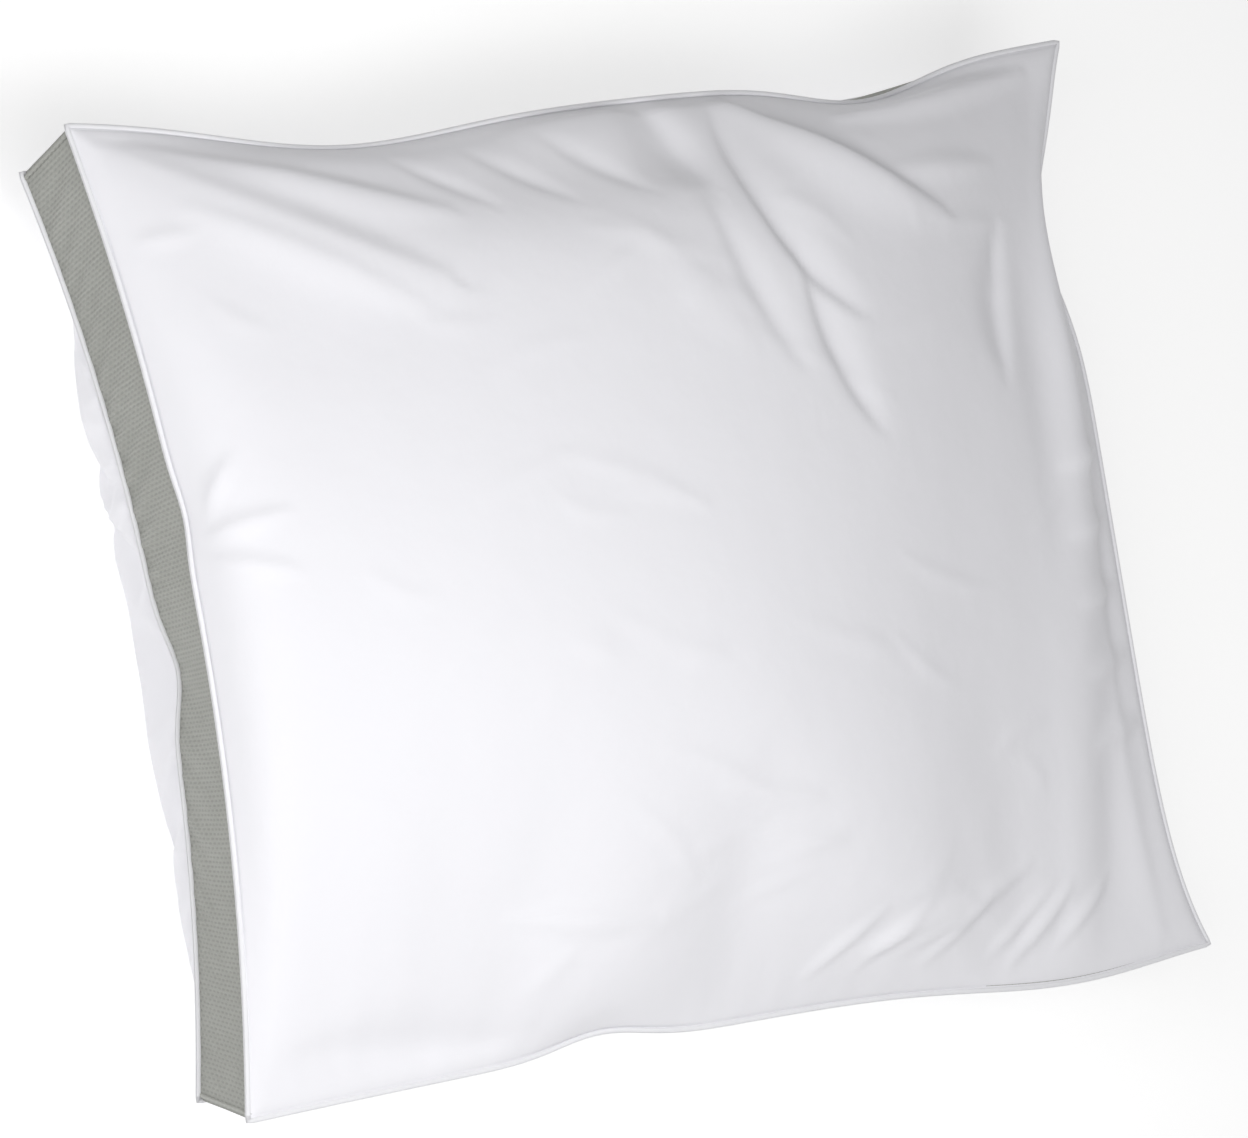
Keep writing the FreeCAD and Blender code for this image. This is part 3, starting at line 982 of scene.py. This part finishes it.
def seam_line(level_row, aside, lift=0.0):
    """A seam's line as one ring of points, moved aside (outwards is more than 0) and up."""
    ring = cloth[closed_wall[level_row]]
    sides = [redraw(ring[start:start + cells + 1], cells * LINE_FINER)[:-1]
             for start, cells in zip(side_starts, side_cells)]
    ring = np.vstack(sides)
    along = np.roll(ring, -2, axis=0) - np.roll(ring, 2, axis=0)
    out = np.stack([along[:, 1], -along[:, 0]], axis=-1)
    out /= np.linalg.norm(out, axis=1, keepdims=True)
    ring = ring.copy()
    ring[:, :2] += out * aside
    ring[:, 2] += lift
    return ring


def line_object(name, lines, closed):
    """A curve object with one straight-run spline through each list of points."""
    curve = bpy.data.curves.new(name, "CURVE")
    curve.dimensions = "3D"
    for line in lines:
        spline = curve.splines.new("POLY")
        spline.points.add(len(line) - 1)
        spline.points.foreach_set("co", np.hstack([line, np.ones((len(line), 1))]).ravel())
        spline.use_cyclic_u = closed
    return link_new(name, curve)


piping_tree, cord_tree = sweep_tree("Piping", PIPING_SIZES), sweep_tree("Cord", CORD_SIZES)
pipings, cords = {}, {}
for place, row in (("top", -1), ("bottom", 0)):
    line = seam_line(row, PIPING_ASIDE)
    pipings[place] = run_tree(line_object(f"{place}_piping_bias", [line], True), piping_tree,
                              {**PIPING_SIZES, "Finish": bias})
    cords[place] = run_tree(line_object(f"{place}_piping_core", [line], True), cord_tree,
                            {**CORD_SIZES, "Finish": cord})
    print(place, "piping:", len(pipings[place].data.polygons), "faces")

# %% [markdown]
# ## Stitches
# The seams are sewn inside out, so their thread is hidden once the pillow is turned. It is there all the
# same: one slim grain of thread for each stitch, set along the seam's line by Geometry Nodes at the stitch's
# pitch.

# %% A tree for stitches
STITCH_SIZES = {"Pitch": 3.2 * MM, "Stitch Length": 2.6 * MM, "Thread Radius": 0.25 * MM}
GRAIN_SEGMENTS, GRAIN_RINGS = 6, 5
nodes, given = shape_tree("Stitches", STITCH_SIZES)
points = nodes.add("GeometryNodeCurveToPoints", {"mode": "LENGTH"},
                   {"Curve": given["Shape"], "Length": given["Pitch"]})
turn = Value(points.socket.node.outputs["Rotation"])
grain = nodes.add("GeometryNodeMeshUVSphere", None,
                  {"Segments": GRAIN_SEGMENTS, "Rings": GRAIN_RINGS, "Radius": 1.0})
size = nodes.add("ShaderNodeCombineXYZ", None, {"X": given["Thread Radius"], "Y": given["Thread Radius"],
                                                "Z": given["Stitch Length"] * 0.5})
grain = nodes.add("GeometryNodeTransform", None, {"Geometry": grain, "Scale": size})
sewn = nodes.add("GeometryNodeInstanceOnPoints", None,
                 {"Points": points, "Instance": grain, "Rotation": turn})
stitch_tree = finish_tree(nodes, sewn, given)

# %% Sew the seams
STITCH_INSET = 3.0 * MM
CLOSING_LENGTH = 0.22
CORNER_INSET = 0.985  # the corner seams' thread lies inside the cloth, at this share of its way out
above_stack = TAPE_THICKNESS / 2 + COTTON_THICKNESS / 2


def sew(name, lines, closed=False):
    """Stitches along lines."""
    return run_tree(line_object(name, lines, closed), stitch_tree, {**STITCH_SIZES, "Finish": thread})


top_stitches = sew("top_seam_stitches", [seam_line(-1, -STITCH_INSET, above_stack)], True)
bottom_stitches = sew("bottom_seam_stitches", [seam_line(0, -STITCH_INSET, -above_stack)], True)
closing_line = seam_line(0, -2 * STITCH_INSET, MESH_THICKNESS)
closing_line = closing_line[:CELLS_X * LINE_FINER]
closing_line = closing_line[np.abs(closing_line[:, 0]) < CLOSING_LENGTH / 2]
closing_stitches = sew("closing_seam_stitches", [closing_line])
corner_lines = [cloth[closed_wall[:, start]] * [CORNER_INSET, CORNER_INSET, 1] for start in side_starts]
corner_stitches = sew("corner_seam_stitches", corner_lines)
print("stitches:", [len(made.data.polygons) // (GRAIN_SEGMENTS * GRAIN_RINGS)
                    for made in (top_stitches, bottom_stitches, closing_stitches, corner_stitches)])

# %% [markdown]
# ## The filling
# Loose fibre takes the shape of its case, so the filling is the simulated cloth itself, drawn in by about a
# centimetre, and by a little more along the seams, where it makes room for the allowances.

# %% Fibre
FIBRE_GAP, SEAM_GAP = 12.0 * MM, 14.0 * MM
filling = new_object("fibre_filling", cloth, cloth_faces)
normals = np.empty(point_count * 3)
filling.data.vertices.foreach_get("normal", normals)
gap = np.full(point_count, FIBRE_GAP)
gap[wall_index[[0, -1]]] = SEAM_GAP
filling.data.vertices.foreach_set("co", (cloth - normals.reshape(-1, 3) * gap[:, None]).ravel())
filling.data.update()
filling.data.materials.append(fibre)
print("filling:", len(filling.data.polygons), "squares")

# %% [markdown]
# ## Ride and replace
# Nothing on a pillow moves by itself, so every piece rides on the one body. Each piece stands for the CAD
# node of the same thing.

# %% Join the frame
stands_for = {
    top_panel: ("top_panel", "cotton_panel"),
    bottom_panel: ("bottom_panel", "cotton_panel"),
    pipings["top"]: ("top_piping_cover", "piping_cotton"),
    pipings["bottom"]: ("bottom_piping_cover", "piping_cotton"),
    cords["top"]: ("top_piping_cord", "piping_cord"),
    cords["bottom"]: ("bottom_piping_cord", "piping_cord"),
    top_stitches: ("top_seam_thread", "sewing_thread"),
    bottom_stitches: ("bottom_seam_thread", "sewing_thread"),
    closing_stitches: ("closing_seam_thread", "sewing_thread"),
    corner_stitches: ("gusset_corner_threads", "sewing_thread"),
    filling: ("fibre_fill", "polyester_fibre"),
}
for side, made in zip(SIDES, strips):
    stands_for[made] = (f"gusset_{side}", "gusset_mesh")
for made, (node, slot) in stands_for.items():
    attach(made, "root")
    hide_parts(node)

# %% [markdown]
# ## Floor, light and camera
# A pale floor, a soft light high over the foot left corner, a weaker one lower on the left and a dim white
# sky, so that the right side and the head side fall into a gentle shade. The camera stands far off with a
# long lens, which keeps the pillow's edges nearly parallel, and is turned on its side about its own axis.

# %% Floor
floor = level_square("floor", 4.0)
paper, _, shader = finish("pale_floor", Roughness=0.9, Emission_Strength=0.5)
shader.inputs["Base Color"].default_value = (0.7, 0.7, 0.7, 1)
shader.inputs["Emission Color"].default_value = (1, 1, 1, 1)
floor.data.materials.append(paper)
floor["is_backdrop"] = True


# %% Lights
def soft_light(name, place, aim, size, power, colour=(1, 1, 1)):
    """A square area light, pointed at a place."""
    light = bpy.data.lights.new(name, "AREA")
    light.size, light.energy, light.color = size, power, colour
    made = link_new(name, light)
    made.location = place
    made.rotation_euler = (Vector(aim) - Vector(place)).to_track_quat("-Z", "Y").to_euler()


soft_light("key", (-0.34, -0.42, 1.3), (-0.05, -0.05, 0.1), 0.7, 7.8)
soft_light("side", (-0.8, -0.05, 0.9), (-0.05, -0.05, 0.1), 0.7, 4.0)
world = bpy.data.worlds.new("studio")
world.use_nodes = True
world.node_tree.nodes["Background"].inputs["Color"].default_value = (1, 1, 1, 1)
world.node_tree.nodes["Background"].inputs["Strength"].default_value = 0.31
bpy.context.scene.world = world
bpy.context.scene.view_settings.view_transform = "Standard"

# %% Camera
AIM = Vector((-0.008, -0.004, 0.069))
AZIMUTH, ELEVATION, ROLL = 264.0, 53.4, 74.6
DISTANCE, LENS = 4.32, 230
camera = link_new("camera", bpy.data.cameras.new("camera"))
camera.data.lens = LENS
towards = Vector((math.sin(math.radians(AZIMUTH)) * math.cos(math.radians(ELEVATION)),
                  math.cos(math.radians(AZIMUTH)) * math.cos(math.radians(ELEVATION)),
                  math.sin(math.radians(ELEVATION))))
camera.location = AIM + towards * DISTANCE
turned = Matrix.Rotation(math.radians(ROLL), 4, "Z")
camera.rotation_euler = ((-towards).to_track_quat("-Z", "Y").to_matrix().to_4x4() @ turned).to_euler()
bpy.context.scene.camera = camera

# %% [markdown]
# ## Sizes
# The finished pillow is measured, and its box is printed beside the CAD model's box.

# %% Finish
bpy.context.view_layer.update()
visual_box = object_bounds()
plain = {"cad": [list(corner) for corner in cad_box], "visual": [list(corner) for corner in visual_box]}
for name, box in plain.items():
    print(name, [[round(v * 1000, 1) for v in corner] for corner in box])
